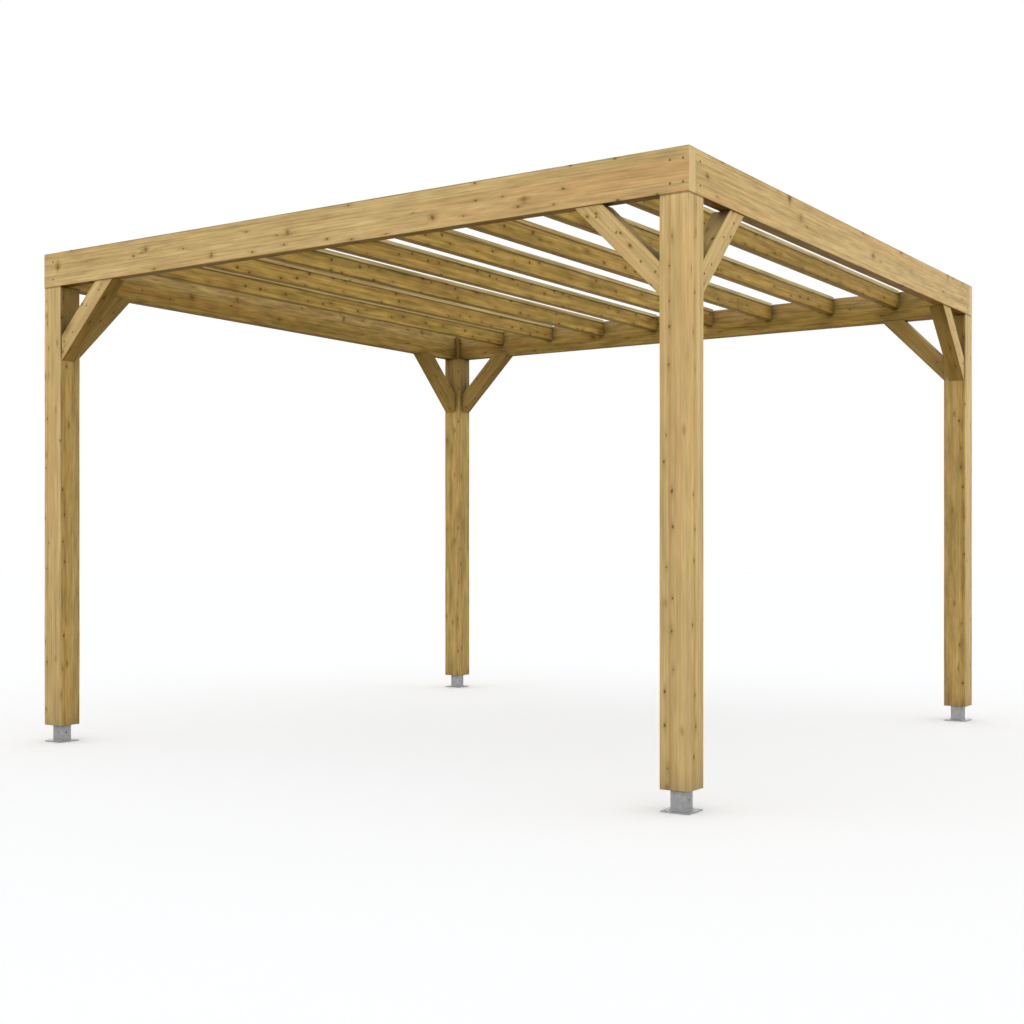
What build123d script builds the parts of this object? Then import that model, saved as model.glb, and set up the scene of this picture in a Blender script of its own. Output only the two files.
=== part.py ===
from build123d import *
import os

# Garden pergola: four square posts on steel feet, a ring of four beams on edge,
# rafters between the front and back beams, a lath on each rafter and two braces at
# every post. Millimetres, Z up, front along -Y, ground at zero.

# overall sizes
frame_width = 3540.0
frame_depth = 3440.0
frame_height = 2400.0

# posts
post_side = 120.0
post_edge = 5.0

# ring beams
beam_thickness = 55.0
beam_depth = 165.0
beam_edge = 2.5

# rafters and the laths on top of them
rafter_count = 8
rafter_thickness = 45.0
rafter_depth = 82.0
rafter_drop = 10.0
rafter_edge = 2.0
lath_depth = 18.0
lath_edge = 1.5

# braces
brace_leg = 365.0
brace_depth = 87.0
brace_thickness = 78.0
brace_setback = 8.0
brace_edge = 2.5

# battens in the inner corners of the ring
batten_side = 30.0
batten_length = 140.0

# steel feet
foot_height = 82.0
plate_side = 118.0
plate_thickness = 5.0
plate_corner = 4.0
tube_side = 62.0
tube_wall = 4.0
tube_corner = 4.0
cap_thickness = 4.0
anchor_spacing = 88.0
anchor_diameter = 11.0
cross_hole_diameter = 8.0
cross_hole_height = 44.0

# shares and derived lengths
half_share = 0.5
beam_bottom = frame_height - beam_depth
half_width = frame_width * half_share
half_depth = frame_depth * half_share
inner_length = frame_depth - beam_thickness - beam_thickness
inner_width = frame_width - beam_thickness - beam_thickness
rafter_top = frame_height - rafter_drop
bay_count = rafter_count + 1
bay_width = (inner_width - rafter_count * rafter_thickness) / bay_count
rafter_pitch = bay_width + rafter_thickness
post_offset_x = half_width - post_side * half_share
post_offset_y = half_depth - post_side * half_share
beam_offset_x = half_width - beam_thickness * half_share
beam_offset_y = half_depth - beam_thickness * half_share

os.makedirs("parts", exist_ok=True)


def save(solid, name):
    export_step(solid, "parts/" + name + ".step")


def bar(length_x, length_y, length_z, edge, axis):
    """A square-cut bar on the ground, centred in plan, its long edges along axis eased."""
    low = (Align.CENTER, Align.CENTER, Align.MIN)
    body = Box(length_x, length_y, length_z, align=low)
    return chamfer(body.edges().filter_by(axis), edge)


corners = {
    "front_right": (1, -1),
    "front_left": (-1, -1),
    "back_left": (-1, 1),
    "back_right": (1, 1),
}

# posts: full section from the foot to the underside of the ring
post_length = beam_bottom - foot_height
for name, (sx, sy) in corners.items():
    post = bar(post_side, post_side, post_length, post_edge, Axis.Z)
    place = Location((sx * post_offset_x, sy * post_offset_y, foot_height))
    save(place * post, "post_" + name)

# ring beams: front and back run the full width, the side beams butt between them
for name, sy in (("front", -1), ("back", 1)):
    beam = bar(frame_width, beam_thickness, beam_depth, beam_edge, Axis.X)
    save(Location((0, sy * beam_offset_y, beam_bottom)) * beam, "beam_" + name)
for name, sx in (("left", -1), ("right", 1)):
    beam = bar(beam_thickness, inner_length, beam_depth, beam_edge, Axis.Y)
    save(Location((sx * beam_offset_x, 0, beam_bottom)) * beam, "beam_" + name)

# rafters: evenly spaced from right to left, their tops a little below the ring's, each with a
# lath of the same width on top
rafter_bottom = rafter_top - rafter_depth
rafter_start = half_width - beam_thickness - bay_width - rafter_thickness * half_share
for index in range(rafter_count):
    place_x = rafter_start - index * rafter_pitch
    number = str(index + 1)
    rafter = bar(rafter_thickness, inner_length, rafter_depth, rafter_edge, Axis.Y)
    save(Location((place_x, 0, rafter_bottom)) * rafter, "rafter_" + number)
    lath = bar(rafter_thickness, inner_length, lath_depth, lath_edge, Axis.Y)
    save(Location((place_x, 0, rafter_top)) * lath, "lath_" + number)

# braces: square timbers at half a right angle, mitred to the post and to the beam
root_two = 2.0 ** half_share
brace_cut = brace_depth * root_two
brace_inner = brace_leg - brace_cut


def brace_body():
    """A brace whose post face is the plane x = 0 and whose beam face is the plane z = 0."""
    outline = Polyline(
        (brace_inner, 0),
        (brace_leg, 0),
        (0, -brace_leg),
        (0, -brace_inner),
        close=True,
    )
    face = make_face(Plane.XZ * outline)
    body = extrude(face, amount=brace_thickness, dir=(0, 1, 0))
    lengths = [edge.length for edge in body.edges()]
    longs = body.edges().filter_by(lambda edge: edge.length > brace_inner * root_two - brace_edge)
    longs = longs.filter_by(lambda edge: edge.length > min(lengths) + brace_edge)
    sloped = longs.filter_by(lambda edge: abs(edge.tangent_at(half_share).Z) > half_share)
    sloped = sloped.filter_by(lambda edge: abs(edge.tangent_at(half_share).X) > half_share)
    return chamfer(sloped, brace_edge)


brace = brace_body()
for name, (sx, sy) in corners.items():
    # along the front or back beam: the brace runs from the post towards the middle in x
    along_x = brace if sx < 0 else mirror(brace, about=Plane.YZ)
    along_x = along_x if sy < 0 else mirror(along_x, about=Plane.XZ)
    place_x = sx * (half_width - post_side)
    place_y = sy * (half_depth - brace_setback)
    save(Location((place_x, place_y, beam_bottom)) * along_x, "brace_x_" + name)
    # along the side beam: the brace runs from the post towards the middle in y
    turned = Rotation(0, 0, 90) * mirror(brace, about=Plane.XZ)
    along_y = turned if sy < 0 else mirror(turned, about=Plane.XZ)
    along_y = along_y if sx < 0 else mirror(along_y, about=Plane.YZ)
    place_x = sx * (half_width - brace_setback)
    place_y = sy * (half_depth - post_side)
    save(Location((place_x, place_y, beam_bottom)) * along_y, "brace_y_" + name)

# battens standing in the inner corners of the ring on the post heads
batten_offset_x = half_width - beam_thickness - batten_side * half_share
batten_offset_y = half_depth - beam_thickness - batten_side * half_share
for name, (sx, sy) in corners.items():
    batten = bar(batten_side, batten_side, batten_length, rafter_edge, Axis.Z)
    place = Location((sx * batten_offset_x, sy * batten_offset_y, beam_bottom))
    save(place * batten, "batten_" + name)

# steel feet: base plate with four anchor holes, square tube with a cross hole and a cap
tube_height = foot_height - plate_thickness
low = (Align.CENTER, Align.CENTER, Align.MIN)
plate = bar(plate_side, plate_side, plate_thickness, plate_corner, Axis.Z)
outer = Box(tube_side, tube_side, tube_height, align=low)
outer = fillet(outer.edges().filter_by(Axis.Z), tube_corner)
tube_inside = tube_side - tube_wall - tube_wall
inner = Box(tube_inside, tube_inside, tube_height - cap_thickness, align=low)
stub = Location((0, 0, plate_thickness)) * (outer - inner)
foot = plate + stub
anchor = Cylinder(anchor_diameter * half_share, plate_thickness, align=low)
for place in GridLocations(anchor_spacing, anchor_spacing, 2, 2):
    foot = foot - place * anchor
cross = Cylinder(cross_hole_diameter * half_share, tube_side, rotation=(0, 90, 0))
foot = foot - Location((0, 0, cross_hole_height)) * cross
for name, (sx, sy) in corners.items():
    place = Location((sx * post_offset_x, sy * post_offset_y, 0))
    save(place * foot, "foot_" + name)
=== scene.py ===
"""Looks of a timber garden pergola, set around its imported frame. Metres, Z up, front along -Y."""

import bpy
import numpy as np
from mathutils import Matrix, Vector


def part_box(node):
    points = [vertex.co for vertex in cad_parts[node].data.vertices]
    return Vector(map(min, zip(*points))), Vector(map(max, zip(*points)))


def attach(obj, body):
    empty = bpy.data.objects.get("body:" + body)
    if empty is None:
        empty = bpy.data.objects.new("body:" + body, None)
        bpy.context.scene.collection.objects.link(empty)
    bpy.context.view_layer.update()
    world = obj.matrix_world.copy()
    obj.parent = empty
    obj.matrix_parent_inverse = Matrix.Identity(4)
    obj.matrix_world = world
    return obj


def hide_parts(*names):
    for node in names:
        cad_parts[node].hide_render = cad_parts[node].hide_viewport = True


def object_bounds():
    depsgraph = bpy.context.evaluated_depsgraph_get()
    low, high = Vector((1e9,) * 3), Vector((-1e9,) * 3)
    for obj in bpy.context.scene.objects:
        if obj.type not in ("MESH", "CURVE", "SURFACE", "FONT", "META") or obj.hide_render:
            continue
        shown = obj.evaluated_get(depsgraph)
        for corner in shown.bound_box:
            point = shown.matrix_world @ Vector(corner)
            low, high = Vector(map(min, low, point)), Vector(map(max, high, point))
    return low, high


bl_info = {
    "name": "Timber pergola looks",
    "version": (1, 0, 0),
    "blender": (4, 5, 0),
    "location": "View3D > Sidebar > Pergola",
    "description": "Planed timbers, screws, welds and a plain studio around the pergola frame",
    "category": "Object",
}

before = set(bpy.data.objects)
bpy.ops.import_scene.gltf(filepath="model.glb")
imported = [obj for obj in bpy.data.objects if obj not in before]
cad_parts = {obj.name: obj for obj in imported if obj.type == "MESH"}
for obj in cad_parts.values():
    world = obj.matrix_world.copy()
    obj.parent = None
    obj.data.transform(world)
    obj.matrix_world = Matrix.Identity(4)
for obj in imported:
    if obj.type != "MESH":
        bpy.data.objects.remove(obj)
CAD_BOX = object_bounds()

CORNERS = ("front_right", "front_left", "back_left", "back_right")
ALONG_X, ALONG_Y, ALONG_Z = 0, 1, 2
UP = np.array([0.0, 0.0, 1.0])
FULL_TURN, QUARTER_TURN, ROOT_TWO = 2 * np.pi, np.pi / 2, np.sqrt(2)
SCREEN_TOP, SCREEN_GAMMA = 255.0, 2.4
SCREEN_TOE, SCREEN_OFFSET, SCREEN_SLOPE = 0.04045, 0.055, 12.92


def screen(red, green, blue):
    """A colour given as it shows on a screen, 0 to 255, turned into the linear light of a shader."""
    part = np.array([red, green, blue]) / SCREEN_TOP
    curve = ((part + SCREEN_OFFSET) / (1 + SCREEN_OFFSET)) ** SCREEN_GAMMA
    return tuple(float(c) for c in np.where(part <= SCREEN_TOE, part / SCREEN_SLOPE, curve))


def colour(name, description, default):
    """A colour property."""
    return bpy.props.FloatVectorProperty(
        name=name, description=description, default=default,
        size=3, min=0.0, max=1.0, subtype="COLOR")


def length(name, description, default):
    """A length property in metres."""
    return bpy.props.FloatProperty(
        name=name, description=description, default=default,
        min=0.0, precision=5, unit="LENGTH")


def share(name, description, default):
    """A property without a unit."""
    return bpy.props.FloatProperty(name=name, description=description, default=default, precision=3)


class PergolaTimber(bpy.types.PropertyGroup):
    """Planed and pressure-treated softwood."""
    early_wood: colour("Early wood", "Pale part of a year ring", screen(210, 183, 128))
    lath_wood: colour("Lath wood", "Pale part of a year ring in the laths", screen(214, 202, 152))
    late_wood: colour("Late wood", "Dark part of a year ring", screen(160, 127, 70))
    treated: colour("Treated tint", "Green cast that the treatment leaves in places", screen(160, 142, 82))
    rosy: colour("Heart tint", "Warmer cast of the heartwood", screen(202, 163, 110))
    knot: colour("Knot", "Heart of a knot", screen(98, 70, 30))
    knot_rim: colour("Knot rim", "Grain bent round a knot", screen(142, 110, 58))
    end_wood: colour("End grain", "Sawn end of a timber", screen(214, 190, 138))
    # painted shade: a deeper tone for the shade on the faces inside the frame
    sheltered: colour(
        "Sheltered tint", "Deeper tone of the faces that the weather doesn't reach", (0.775, 0.725, 0.45))
    column: colour("Pin column", "Streak in which a row of small knots lies", screen(186, 148, 88))
    # painted shade towards the top of the faces inside the frame, where the roof and the laths shade them
    damp: colour("Damp tint", "Shade under a cover, deepest at the top of a timber", (0.50, 0.46, 0.40))
    # painted shade on the faces that look down
    under: colour("Under tint", "Deeper tone of the faces that look down", (0.84, 0.72, 0.44))
    # painted shade: how far from a joint and how deep the wood darkens where shade falls in a crevice
    crevice_shade_reach: length("Crevice shade reach", "How far from a joint the wood is darker", 0.30)
    brace_shade_reach: length("Brace crevice shade reach", "The same on the braces", 0.12)
    crevice_shade_tone: share("Crevice shade tone", "Tone of the wood deep in a joint", 0.40)
    ring_width: length("Ring width", "Width of a year ring", 0.0055)
    post_arris: length("Post arris", "Rounding of a post's long edges", 0.005)
    arris: length("Arris", "Rounding of the other long edges", 0.003)
    end_arris: length("End arris", "Easing of the sawn ends", 0.0015)
    mitre_arris: length("Mitre arris", "Easing of the mitred ends", 0.0004)


class PergolaFixings(bpy.types.PropertyGroup):
    """Screws in the beams and braces."""
    head_radius: length("Head radius", "Radius of a screw head", 0.0052)
    head_rise: length("Head rise", "How far a head stands out of the wood", 0.0012)
    recess: length("Recess", "Depth of the six-lobed drive", 0.0022)
    coating: colour("Coating", "Brown coating of the screws", screen(112, 84, 46))


class PergolaFeet(bpy.types.PropertyGroup):
    """Galvanised steel feet."""
    zinc: colour("Zinc", "Dull zinc", screen(162, 162, 162))
    zinc_dark: colour("Dark zinc", "Darker crystals of the zinc", screen(134, 134, 135))
    weld_radius: length("Weld radius", "Radius of the weld bead", 0.0035)


class PergolaStage(bpy.types.PropertyGroup):
    """Floor, light and camera."""
    lens: share("Lens", "Focal length in millimetres on a 36 mm frame", 51.093)
    shift_up: share("Upward shift", "Vertical shift of the frame", 0.03283)
    camera_place: bpy.props.FloatVectorProperty(
        name="Camera place", description="Where the camera stands",
        default=(4.1401, -6.3873, 0.9646), size=3, subtype="TRANSLATION", unit="LENGTH")
    camera_turn: bpy.props.FloatProperty(
        name="Camera turn", description="Turn of the level camera about the vertical",
        default=float(np.arcsin(0.55717)), subtype="ANGLE")
    sky_low: share("Low sky", "Light of the dome at the horizon", 0.25)
    sky_high: share("High sky", "Light of the dome overhead", 0.85)
    panel_light: share("Panel light", "Light of the four soft panels", 2.0)
    floor_white: share("Floor white", "How brightly the open floor shows", 1.022)
    floor_tone: colour("Floor tone", "Cool tone of the floor", (0.973, 0.985, 1.0))
    floor_return: colour("Floor return", "Light that the floor sends back up", (0.25, 0.19, 0.09))


COLUMN_STEP, ROW_STEP, COLUMN_NODES = 220, 200, 6


class Bench:
    """Puts nodes into one tree, feeds their sockets and sets them out in columns."""

    def __init__(self, tree):
        self.tree = tree
        self.count = 0

    def put(self, kind, feeds=None, **settings):
        """A node of this kind with its settings, its sockets fed by links or plain values."""
        node = self.tree.nodes.new(kind)
        column, row = divmod(self.count, COLUMN_NODES)
        node.location = (COLUMN_STEP * column, -ROW_STEP * row)
        self.count += 1
        for key, value in settings.items():
            setattr(node, key, value)
        for key, value in (feeds or {}).items():
            self.feed(node.inputs[key], value)
        return node

    def feed(self, socket, value):
        """Links a socket to another one, or sets its plain value."""
        if isinstance(value, bpy.types.NodeSocket):
            self.tree.links.new(value, socket)
        elif socket.type == "RGBA" and len(value) == 3:
            socket.default_value = (*value, 1.0)
        else:
            socket.default_value = value

    def math(self, operation, first, second=0.0, third=0.0):
        """One sum on numbers."""
        feeds = {0: first, 1: second, 2: third}
        return self.put("ShaderNodeMath", feeds, operation=operation).outputs[0]

    def plus(self, first, second):
        """The sum of two numbers."""
        return self.math("ADD", first, second)

    def minus(self, first, second):
        """The first number less the second."""
        return self.math("SUBTRACT", first, second)

    def times(self, first, *others):
        """The product of two or more numbers."""
        for other in others:
            first = self.math("MULTIPLY", first, other)
        return first

    def over(self, first, second):
        """The first number divided by the second."""
        return self.math("DIVIDE", first, second)

    def larger(self, first, second):
        """The larger of two numbers."""
        return self.math("MAXIMUM", first, second)

    def scaled(self, value, by, onto):
        """A number times another, added onto a third."""
        return self.math("MULTIPLY_ADD", value, by, onto)

    def swing(self, value, amount):
        """How far a number lies from the middle of 0 to 1, times an amount."""
        return self.times(self.minus(value, 0.5), amount)

    def squares(self, first, second):
        """The sum of two squares."""
        return self.plus(self.times(first, first), self.times(second, second))

    def bell(self, squared):
        """A bell curve over a distance that is given squared."""
        return self.math("EXPONENT", self.times(squared, -1.0))

    def stretch(self, vector, by, shift=(0.0, 0.0, 0.0)):
        """A vector multiplied axis by axis and then moved."""
        feeds = {0: vector, 1: by, 2: shift}
        return self.put("ShaderNodeVectorMath", feeds, operation="MULTIPLY_ADD").outputs[0]

    def split(self, vector):
        """The three numbers of a vector."""
        return self.put("ShaderNodeSeparateXYZ", {0: vector}).outputs

    def join(self, x, y, z=0.0):
        """A vector from three numbers."""
        return self.put("ShaderNodeCombineXYZ", {0: x, 1: y, 2: z}).outputs[0]

    def noise(self, vector, detail=2.0, roughness=0.5):
        """Soft noise, about 0 to 1, one step to a unit of the vector."""
        feeds = {"Vector": vector, "Scale": 1.0, "Detail": detail, "Roughness": roughness}
        return self.put("ShaderNodeTexNoise", feeds, noise_dimensions="3D").outputs[0]

    def cells(self, feeds, **settings):
        """A pattern of cells, one to a unit."""
        return self.put("ShaderNodeTexVoronoi", {"Scale": 1.0, **feeds}, **settings).outputs

    def chances(self, cells):
        """Three chance numbers from 0 to 1 that a cell keeps all over."""
        return self.put("ShaderNodeSeparateColor", {0: cells["Color"]}).outputs

    def ease(self, value, start, stop, low=0.0, high=1.0):
        """A smooth step from low to high while the value goes from start to stop."""
        feeds = {"Value": value, "From Min": start, "From Max": stop, "To Min": low, "To Max": high}
        return self.put("ShaderNodeMapRange", feeds, interpolation_type="SMOOTHSTEP").outputs[0]

    def blend(self, part, first, second, how="MIX"):
        """Two colours mixed by a part from 0 to 1."""
        settings = {"data_type": "RGBA", "blend_type": how, "clamp_factor": True}
        return self.put("ShaderNodeMix", {0: part, 6: first, 7: second}, **settings).outputs[2]

    def toned(self, tint, value):
        """A colour multiplied by a number."""
        grey = self.put("ShaderNodeCombineColor", {0: value, 1: value, 2: value}).outputs[0]
        return self.blend(1.0, tint, grey, "MULTIPLY")


SOCKETS = {"value": "NodeSocketFloat", "vector": "NodeSocketVector", "colour": "NodeSocketColor"}
SURFACE = [("Color", "colour"), ("Roughness", "value"), ("Height", "value")]


def new_group(name, takes, gives):
    """An empty node group with named sockets. takes holds (name, kind) or (name, kind, default)."""
    tree = bpy.data.node_groups.new(name, "ShaderNodeTree")
    for label, kind, *default in takes:
        socket = tree.interface.new_socket(label, in_out="INPUT", socket_type=SOCKETS[kind])
        if default:
            socket.default_value = default[0]
    for label, kind in gives:
        tree.interface.new_socket(label, in_out="OUTPUT", socket_type=SOCKETS[kind])
    bench = Bench(tree)
    start = bench.put("NodeGroupInput").outputs
    stop = bench.put("NodeGroupOutput").inputs
    return tree, bench, start, stop


KNOT_HABITS = ("along", "round", "radius", "keep", "looseness", "stretch", "halo along", "halo across")
# how far a timber's own number moves its knots, in cells along and round
KNOT_MOVE = (7.31, 3.17)
# least radius and its spread, as shares of the radius asked for, and the widest slant
KNOT_LEAST, KNOT_SPREAD, KNOT_SLANT = 0.45, 0.9, 0.9
# where the core ends and the rim starts and ends, in radii
CORE_EDGE, RIM_OUTSIDE, RIM_INSIDE = (1.2, 0.6), (2.1, 1.2), (0.7, 1.1)


def knot_group():
    """Knots scattered over a timber's faces, one to a cell of a loose grid walked along and round it.

    The core is an ellipse, drawn out along the grain for a stretch above 1 and across it below 1, and a
    little slanted. The rim is a ring round the core. The halo fades as a bell curve, longer along the grain,
    and bends the rings round the knot. The column is a bell curve across the strip in which a row of knots
    lies.
    """
    name = "Knots in the face"
    tree = bpy.data.node_groups.get(name)
    if tree:
        return tree
    takes = [("Face", "vector"), ("Series", "value")]
    takes += [(habit.capitalize(), "value") for habit in KNOT_HABITS]
    tree, b, start, stop = new_group(
        name, takes, [(label, "value") for label in ("Core", "Halo", "Rim", "Column")])
    along, around, seed = b.split(start["Face"])
    cell_x = b.scaled(seed, KNOT_MOVE[0], b.over(along, start["Along"]))
    cell_y = b.scaled(seed, KNOT_MOVE[1], b.over(around, start["Round"]))
    cell = b.join(b.plus(cell_x, start["Series"]), cell_y)
    feeds = {"Vector": cell, "Randomness": start["Looseness"]}
    nearest = b.cells(feeds, voronoi_dimensions="2D", feature="F1")
    size_chance, keep_chance, slant_chance = b.chances(nearest)[:3]
    feeds = {0: cell, 1: nearest["Position"]}
    gap_x, gap_y, _ = b.split(b.put("ShaderNodeVectorMath", feeds, operation="SUBTRACT").outputs[0])
    off_along = b.times(gap_x, start["Along"])
    off_across = b.times(gap_y, start["Round"])
    kept = b.math("LESS_THAN", keep_chance, start["Keep"])
    radius = b.times(start["Radius"], b.scaled(size_chance, KNOT_SPREAD, KNOT_LEAST))
    slant = b.swing(slant_chance, KNOT_SLANT)
    slim = b.over(b.scaled(slant, off_across, off_along), start["Stretch"])
    part = b.over(b.math("SQRT", b.squares(slim, off_across)), radius)
    rim = b.times(b.ease(part, *RIM_OUTSIDE), b.ease(part, *RIM_INSIDE), kept)
    far = b.squares(b.over(off_along, start["Halo along"]), b.over(off_across, start["Halo across"]))
    strip = b.minus(b.math("FRACT", cell_y), b.times(start["Looseness"], 0.5))
    strip = b.over(b.times(strip, start["Round"]), start["Halo across"])
    b.feed(stop["Core"], b.times(b.ease(part, *CORE_EDGE), kept))
    b.feed(stop["Rim"], rim)
    b.feed(stop["Halo"], b.times(b.bell(far), kept))
    b.feed(stop["Column"], b.bell(b.times(strip, strip)))
    return tree


# each socket of the softwood and the attribute of a timber's mesh that it reads
VECTOR_MARKS = {"Grain": "grain", "Face": "face_walk"}
VALUE_MARKS = {"End cut": "end_cut", "Arris": "arris", "Sheltered": "sheltered",
               "Rise": "rise", "Facing up": "facing_up"}
# each socket of the softwood and the colour of the timber that it takes
TIMBER_TINTS = {
    "Early wood": "early_wood", "Late wood": "late_wood", "Treated": "treated", "Heart": "rosy",
    "Knot": "knot", "Knot rim": "knot_rim", "End wood": "end_wood", "Shelter tint": "sheltered",
    "Damp tint": "damp", "Column tint": "column", "Under tint": "under"}
# what the softwood does where a timber has no habit of its own
PLAIN_HABITS = {
    "Tone": 1.0, "Ring part": 0.5, "Line part": 0.8, "Fibre tone": 0.3, "Streak tone": 0.1,
    "Mottle tone": 0.08, "Stave width": 0.024, "Stave tone": 0.0, "Column part": 0.0,
    "Cast part": 0.34, "Warm part": 0.50,
    "Pin along": 0.15, "Pin round": 0.06, "Pin radius": 0.004, "Pin keep": 0.6, "Pin looseness": 0.9,
    "Pin stretch": 1.4, "Pin core": 0.85, "Pin halo along": 0.026, "Pin halo across": 0.007,
    "Branch along": 0.6, "Branch round": 0.12, "Branch radius": 0.011, "Branch keep": 0.5,
    "Branch looseness": 0.9, "Branch stretch": 0.75, "Branch core": 0.40, "Branch halo along": 0.060,
    "Branch halo across": 0.030,
    # painted shade on the faces inside the frame, painted light lifting it towards the top, painted shade
    # towards the top and on faces that look down, and painted shade lines at the top and the arrises
    "Shelter part": 1.0, "Lift part": 0.0, "Damp start": 0.15, "Damp part": 0.0, "Under part": 0.0,
    "Shade line": 0.0, "Line start": 0.84, "Line stop": 0.96, "Arris shade": 0.0}
# each timber's parts of painted shade and painted light are among its habits
TIMBER_HABITS = {
    "post_timber": {
        "Ring part": 0.16, "Line part": 0.28, "Fibre tone": 0.36, "Stave width": 0.026, "Stave tone": 0.07,
        "Streak tone": 0.09, "Mottle tone": 0.14, "Column part": 0.65,
        "Pin along": 0.12, "Pin round": 0.12, "Pin radius": 0.0032, "Pin keep": 0.75, "Pin looseness": 0.45,
        "Pin stretch": 1.5, "Pin core": 0.9,
        "Branch along": 0.26, "Branch round": 0.08, "Branch radius": 0.005, "Branch keep": 0.3,
        "Branch stretch": 1.8, "Branch core": 0.16, "Branch halo along": 0.018, "Branch halo across": 0.008,
        "Shelter part": 0.62, "Damp start": 0.80, "Damp part": 0.6,
        "Shade line": 0.55, "Line start": 0.9955, "Line stop": 0.9985},
    "beam_timber": {
        "Tone": 0.93, "Ring part": 0.34, "Line part": 0.40, "Stave width": 0.06, "Stave tone": 0.03,
        "Streak tone": 0.07, "Mottle tone": 0.17, "Fibre tone": 0.62,
        "Pin along": 0.20, "Pin round": 0.075, "Pin radius": 0.0034, "Pin keep": 0.55,
        "Branch along": 0.42, "Branch round": 0.17, "Branch radius": 0.017, "Branch keep": 0.75,
        "Branch stretch": 0.60, "Branch core": 0.72, "Branch halo along": 0.026, "Branch halo across": 0.014,
        "Cast part": 0.16, "Warm part": 0.75,
        "Lift part": 0.6, "Under part": 1.0, "Shade line": 0.35, "Line start": 0.965, "Line stop": 0.985},
    "rafter_timber": {
        "Tone": 1.20, "Ring part": 0.30, "Line part": 0.45, "Stave width": 0.05, "Stave tone": 0.03,
        "Streak tone": 0.24, "Mottle tone": 0.18,
        "Pin along": 0.105, "Pin round": 0.07, "Pin radius": 0.0050, "Pin keep": 0.75, "Pin looseness": 0.7,
        "Pin halo along": 0.034, "Pin halo across": 0.012,
        "Branch keep": 0.3, "Damp part": 0.36, "Shade line": 0.64, "Arris shade": 0.42,
        "Cast part": 0.60, "Warm part": 0.36},
    "lath_timber": {
        "Tone": 1.08, "Streak tone": 0.06, "Pin keep": 0.3, "Branch keep": 0.1, "Shelter part": 0.12},
    "brace_timber": {
        "Tone": 0.93, "Ring part": 0.25, "Line part": 0.35, "Fibre tone": 0.40, "Stave width": 0.03,
        "Stave tone": 0.04, "Streak tone": 0.14, "Pin along": 0.12, "Pin keep": 0.7, "Branch keep": 0.2,
        "Shelter part": 0.7, "Damp part": 0.45, "Under part": 0.5},
    "batten_timber": {"Streak tone": 0.05, "Pin keep": 0.4, "Branch keep": 0.0, "Damp part": 0.4},
}
# steps to a metre along and across the grain, shift, detail and roughness of each noise
UNMOVED = (0.0, 0.0, 0.0)
GRAIN_NOISES = {
    "wander": (0.9, 5.0, UNMOVED, 2.0, 0.5),
    "fibre": (6.0, 200.0, UNMOVED, 3.0, 0.6),
    "streak": (1.2, 55.0, UNMOVED, 2.0, 0.55),
    "line": (1.5, 125.0, (5.0, 11.0, 17.0), 2.0, 0.6),
    "mottle": (6.0, 42.0, (3.0, 19.0, 8.0), 3.0, 0.6),
    "cast": (1.8, 16.0, UNMOVED, 2.0, 0.5),
    "warm": (0.5, 16.0, (31.0, 7.0, 3.0), 1.0, 0.5),
    "wear": (9.0, 40.0, UNMOVED, 2.0, 0.5),
}
# where each noise starts to show and shows in full, and for some the least and the most that it gives
LINE_SHOWS, CAST_SHOWS, FLAME_SHOWS, WEAR_SHOWS = (0.44, 0.62), (0.50, 0.72), (0.32, 0.62), (0.35, 0.7)
YEAR_SHOWS, RAGGED_SHOWS = (0.3, 0.7, 0.35, 1.0), (0.44, 0.56, 0.2, 1.0)
# metres by which slow noise, branches and pins bend the rings, and how late in a ring the wood darkens
WANDER_BEND, BRANCH_BEND, PIN_BEND, LATE_CURVE = 0.014, 0.014, 0.004, 2.2
# how fast the depth of the rings changes from year to year and from timber to timber
YEAR_STEP, YEAR_MOVE = 0.45, 5.7
# how fast and how far the staves drift, how a timber's own number moves them, and their seams
DRIFT_ALONG, DRIFT_ROUND, DRIFT_REACH = 0.8, 9.0, 0.010
STAVE_MOVE, STAVE_LOOSENESS, SEAM_SHOWS, SEAM_PART = 13.7, 0.8, (0.05, 0.0), 0.6
# cells by which the branches are moved along, so that they don't lie on the pins
PIN_SERIES, BRANCH_SERIES = 0.0, 41.0
# weights of the tones, with the mottle weighing more on the faces in painted shade, and the parts of flames,
# rims, worn arrises and sawn rings
STREAK_GAIN, STAVE_GAIN, MOTTLE_GAIN, MOTTLE_IN_SHADE = 4.0, 2.0, 4.0, 5.0
TIMBER_SWING, PIN_SHADE, BRANCH_SHADE = 0.04, 0.10, 0.14
FLAME_PART, PIN_FLAME, RIM_PART, WEAR_PART = 0.75, 0.5, 0.45, 0.35
SAWN_RINGS, SAWN_FIBRE, SAWN_TONE = 0.55, 0.16, 0.92
# between which heights, as shares of a timber's own, painted light from above lifts the painted shade of the
# faces inside
TOP_LIGHT_SHOWS = (0.30, 0.95)
# roughness of the wood and what fibres, late wood, knots and wear add to it, and the same for its relief
WOOD_ROUGH, FIBRE_ROUGH, LATE_ROUGH, KNOT_ROUGH, WEAR_ROUGH = 0.56, 0.22, -0.10, -0.12, 0.08
FIBRE_RELIEF, LATE_RELIEF, KNOT_RELIEF = 0.5, 0.6, 0.5


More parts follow.
